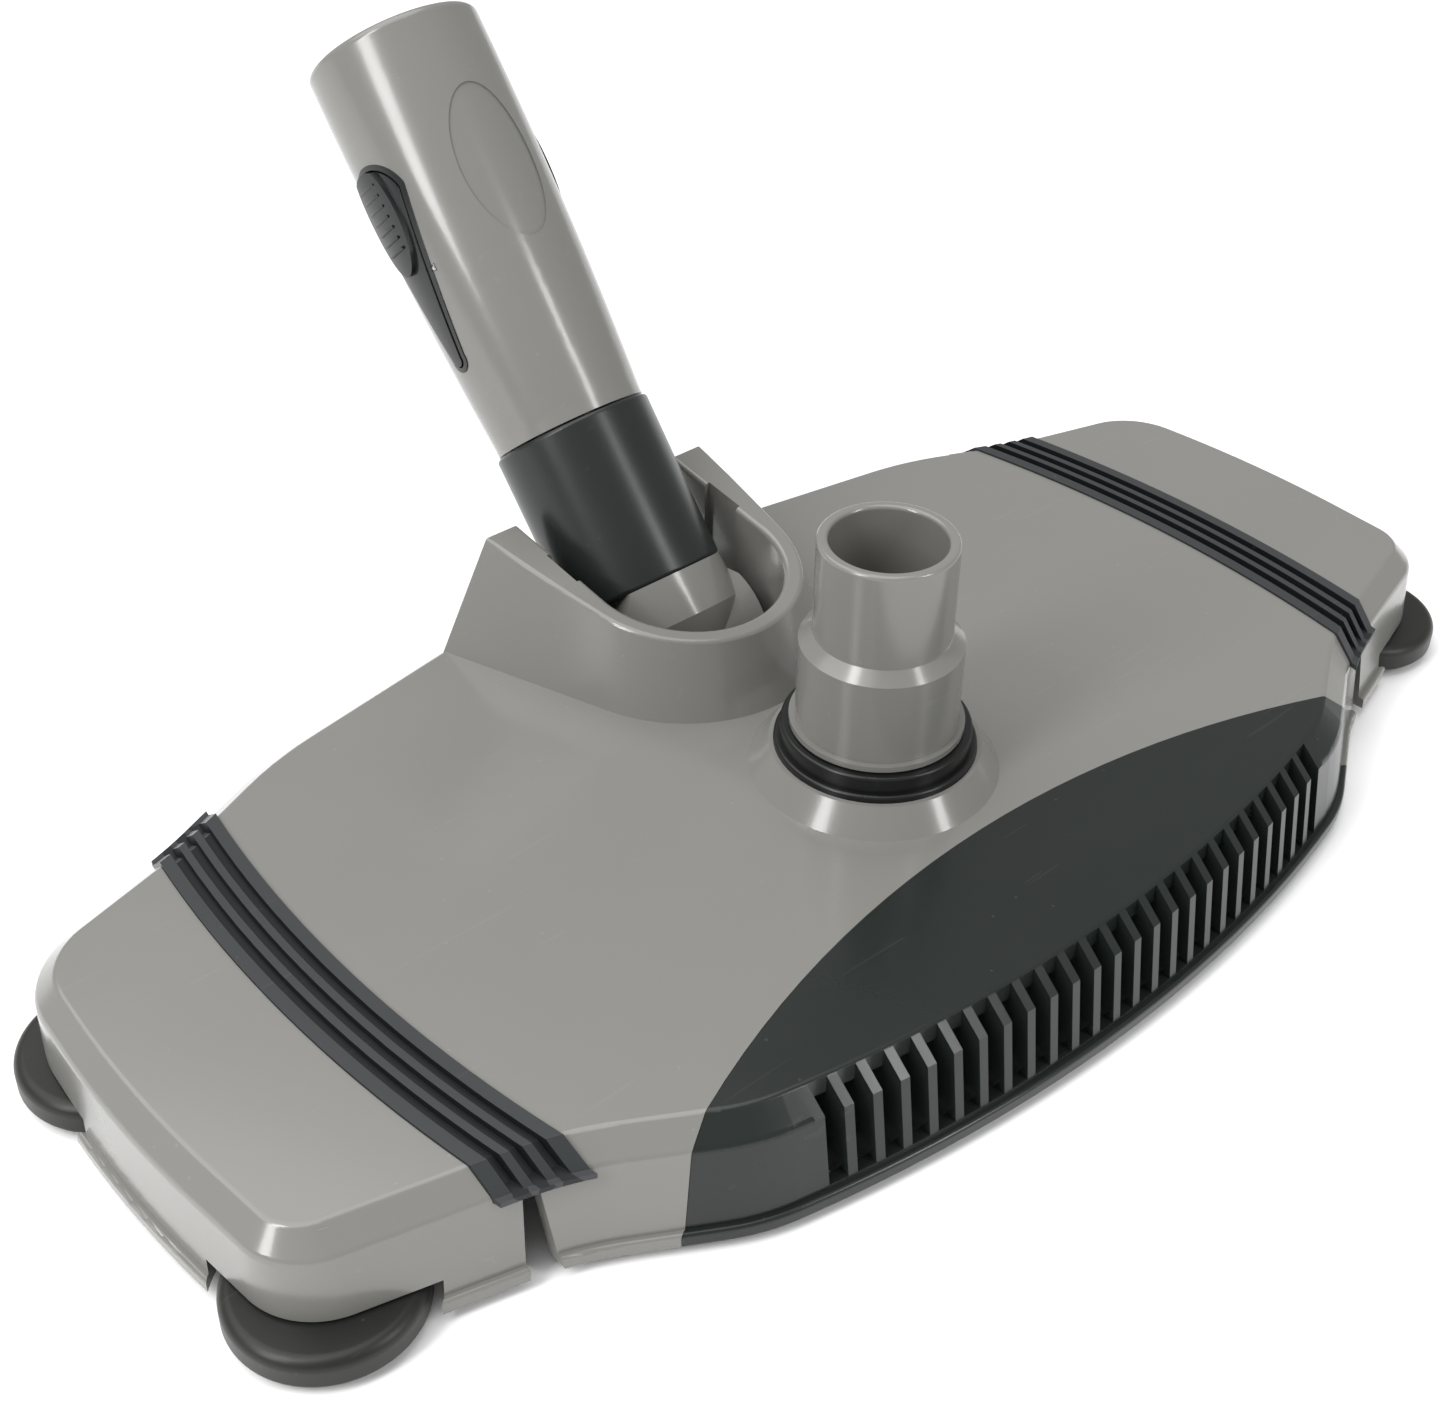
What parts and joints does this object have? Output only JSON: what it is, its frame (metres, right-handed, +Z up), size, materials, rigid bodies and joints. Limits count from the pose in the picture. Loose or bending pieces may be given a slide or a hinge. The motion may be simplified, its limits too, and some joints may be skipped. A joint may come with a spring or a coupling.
{
  "type": "pool vacuum head",
  "caption": "Manual pool vacuum head: weighted shell with flexible hinged wings, slotted front grille, swivelling stepped hose neck, tilting pole handle, bumper rollers and floor wheels.",
  "frame": {"origin": "on the floor under the middle of the whole box, handle at its rest tilt", "axes": "+X along the head from the left wing to the right wing, -Y towards the grille, +Y towards the handle, +Z up"},
  "size_m": [0.3812, 0.278, 0.1663],
  "materials": {
    "grey_shell": "warm grey moulded ABS, semi-gloss",
    "dark_panel": "charcoal moulded ABS, glossy",
    "hinge_strip": "satin thermoplastic rubber",
    "dark_sleeve": "satin",
    "bumper_rubber": "matt rubber",
    "seal_rubber": "black rubber",
    "steel": "stainless",
    "ballast_iron": "coated iron",
    "clip_plastic": "near-black moulded plastic",
    "wheel_plastic": "dark moulded plastic"
  },
  "bodies": {
    "chassis": {"centre_shell": "grey_shell", "grille_panel": "dark_panel", "panel_screws": "steel", "seal_ring": "seal_rubber", "centre_ballast_screws": "steel", "centre_fork_screws": "steel", "centre_axles": "steel", "pivot_pin": "steel", "pin_clips": "steel", "pin_bushes": "wheel_plastic", "left_flex_strip": "hinge_strip", "right_flex_strip": "hinge_strip", "left_ballast": "ballast_iron", "right_ballast": "ballast_iron", "left_front_fork": "wheel_plastic", "left_rear_fork": "wheel_plastic", "right_front_fork": "wheel_plastic", "right_rear_fork": "wheel_plastic"},
    "left_wing": {"left_wing_shell": "grey_shell", "left_wing_ballast": "ballast_iron", "left_wing_fork": "wheel_plastic", "left_wing_axle": "steel", "left_wing_screws": "steel", "left_roller_screws": "steel"},
    "right_wing": {"right_wing_shell": "grey_shell", "right_wing_ballast": "ballast_iron", "right_wing_fork": "wheel_plastic", "right_wing_axle": "steel", "right_wing_screws": "steel", "right_roller_screws": "steel"},
    "left_front_roller": {"left_front_roller_tyre": "bumper_rubber", "left_front_roller_hub": "wheel_plastic"},
    "left_rear_roller": {"left_rear_roller_tyre": "bumper_rubber", "left_rear_roller_hub": "wheel_plastic"},
    "left_front_wheel": {"left_front_floor_wheel": "wheel_plastic"},
    "left_rear_wheel": {"left_rear_floor_wheel": "wheel_plastic"},
    "left_wing_wheel": {"left_wing_floor_wheel": "wheel_plastic"},
    "right_front_roller": {"right_front_roller_tyre": "bumper_rubber", "right_front_roller_hub": "wheel_plastic"},
    "right_rear_roller": {"right_rear_roller_tyre": "bumper_rubber", "right_rear_roller_hub": "wheel_plastic"},
    "right_front_wheel": {"right_front_floor_wheel": "wheel_plastic"},
    "right_rear_wheel": {"right_rear_floor_wheel": "wheel_plastic"},
    "right_wing_wheel": {"right_wing_floor_wheel": "wheel_plastic"},
    "hose_neck": {"hose_neck": "grey_shell", "neck_retainer": "steel"},
    "handle": {"knuckle": "grey_shell", "handle_collar": "dark_sleeve", "handle_tube": "grey_shell", "left_clip_bezel": "clip_plastic", "right_clip_bezel": "clip_plastic", "clip_pins": "steel"},
    "left_clip": {"left_clip_button": "clip_plastic"},
    "right_clip": {"right_clip_button": "clip_plastic"}
  },
  "joints": [
    {"name": "left_wing_flex", "type": "hinge", "parent": "chassis", "child": "left_wing", "pos_m": [-0.136, -0.03787, 0.0286], "axis": [0, 1, 0], "range_deg": [-12, 12], "stiffness_Nm_per_rad": 0.6, "deforming": ["left_flex_strip"]},
    {"name": "right_wing_flex", "type": "hinge", "parent": "chassis", "child": "right_wing", "pos_m": [0.136, -0.03787, 0.0286], "axis": [0, -1, 0], "range_deg": [-12, 12], "stiffness_Nm_per_rad": 0.6, "deforming": ["right_flex_strip"]},
    {"name": "left_front_roller_spin", "type": "hinge", "parent": "left_wing", "child": "left_front_roller", "pos_m": [-0.1704, -0.08187, 0.0057], "axis": [0, 0, 1], "continuous": true},
    {"name": "left_rear_roller_spin", "type": "hinge", "parent": "left_wing", "child": "left_rear_roller", "pos_m": [-0.1704, -0.00087, 0.0057], "axis": [0, 0, 1], "continuous": true},
    {"name": "left_front_wheel_roll", "type": "hinge", "parent": "chassis", "child": "left_front_wheel", "pos_m": [-0.088, -0.07967, 0.01], "axis": [1, 0, 0], "continuous": true},
    {"name": "left_rear_wheel_roll", "type": "hinge", "parent": "chassis", "child": "left_rear_wheel", "pos_m": [-0.088, 0.01033, 0.01], "axis": [1, 0, 0], "continuous": true},
    {"name": "left_wing_wheel_roll", "type": "hinge", "parent": "left_wing", "child": "left_wing_wheel", "pos_m": [-0.162, -0.04167, 0.01], "axis": [1, 0, 0], "continuous": true},
    {"name": "right_front_roller_spin", "type": "hinge", "parent": "right_wing", "child": "right_front_roller", "pos_m": [0.1704, -0.08187, 0.0057], "axis": [0, 0, 1], "continuous": true},
    {"name": "right_rear_roller_spin", "type": "hinge", "parent": "right_wing", "child": "right_rear_roller", "pos_m": [0.1704, -0.00087, 0.0057], "axis": [0, 0, 1], "continuous": true},
    {"name": "right_front_wheel_roll", "type": "hinge", "parent": "chassis", "child": "right_front_wheel", "pos_m": [0.088, -0.07967, 0.01], "axis": [1, 0, 0], "continuous": true},
    {"name": "right_rear_wheel_roll", "type": "hinge", "parent": "chassis", "child": "right_rear_wheel", "pos_m": [0.088, 0.01033, 0.01], "axis": [1, 0, 0], "continuous": true},
    {"name": "right_wing_wheel_roll", "type": "hinge", "parent": "right_wing", "child": "right_wing_wheel", "pos_m": [0.162, -0.04167, 0.01], "axis": [1, 0, 0], "continuous": true},
    {"name": "neck_swivel", "type": "hinge", "parent": "chassis", "child": "hose_neck", "pos_m": [0, -0.05767, 0.03], "axis": [0, 0, 1], "continuous": true},
    {"name": "handle_tilt", "type": "hinge", "parent": "chassis", "child": "handle", "pos_m": [0, 0.01403, 0.025], "axis": [1, 0, 0], "range_deg": [-32, 46]},
    {"name": "left_clip_press", "type": "hinge", "parent": "handle", "child": "left_clip", "pos_m": [-0.0203, 0.08468, 0.10801], "axis": [0, 0.7615, -0.6481], "range_deg": [0, 4], "stiffness_Nm_per_rad": 1, "springref_deg": -3.44},
    {"name": "right_clip_press", "type": "hinge", "parent": "handle", "child": "right_clip", "pos_m": [0.0203, 0.08468, 0.10801], "axis": [0, -0.7615, 0.6481], "range_deg": [0, 4], "stiffness_Nm_per_rad": 1, "springref_deg": -3.44}
  ]
}
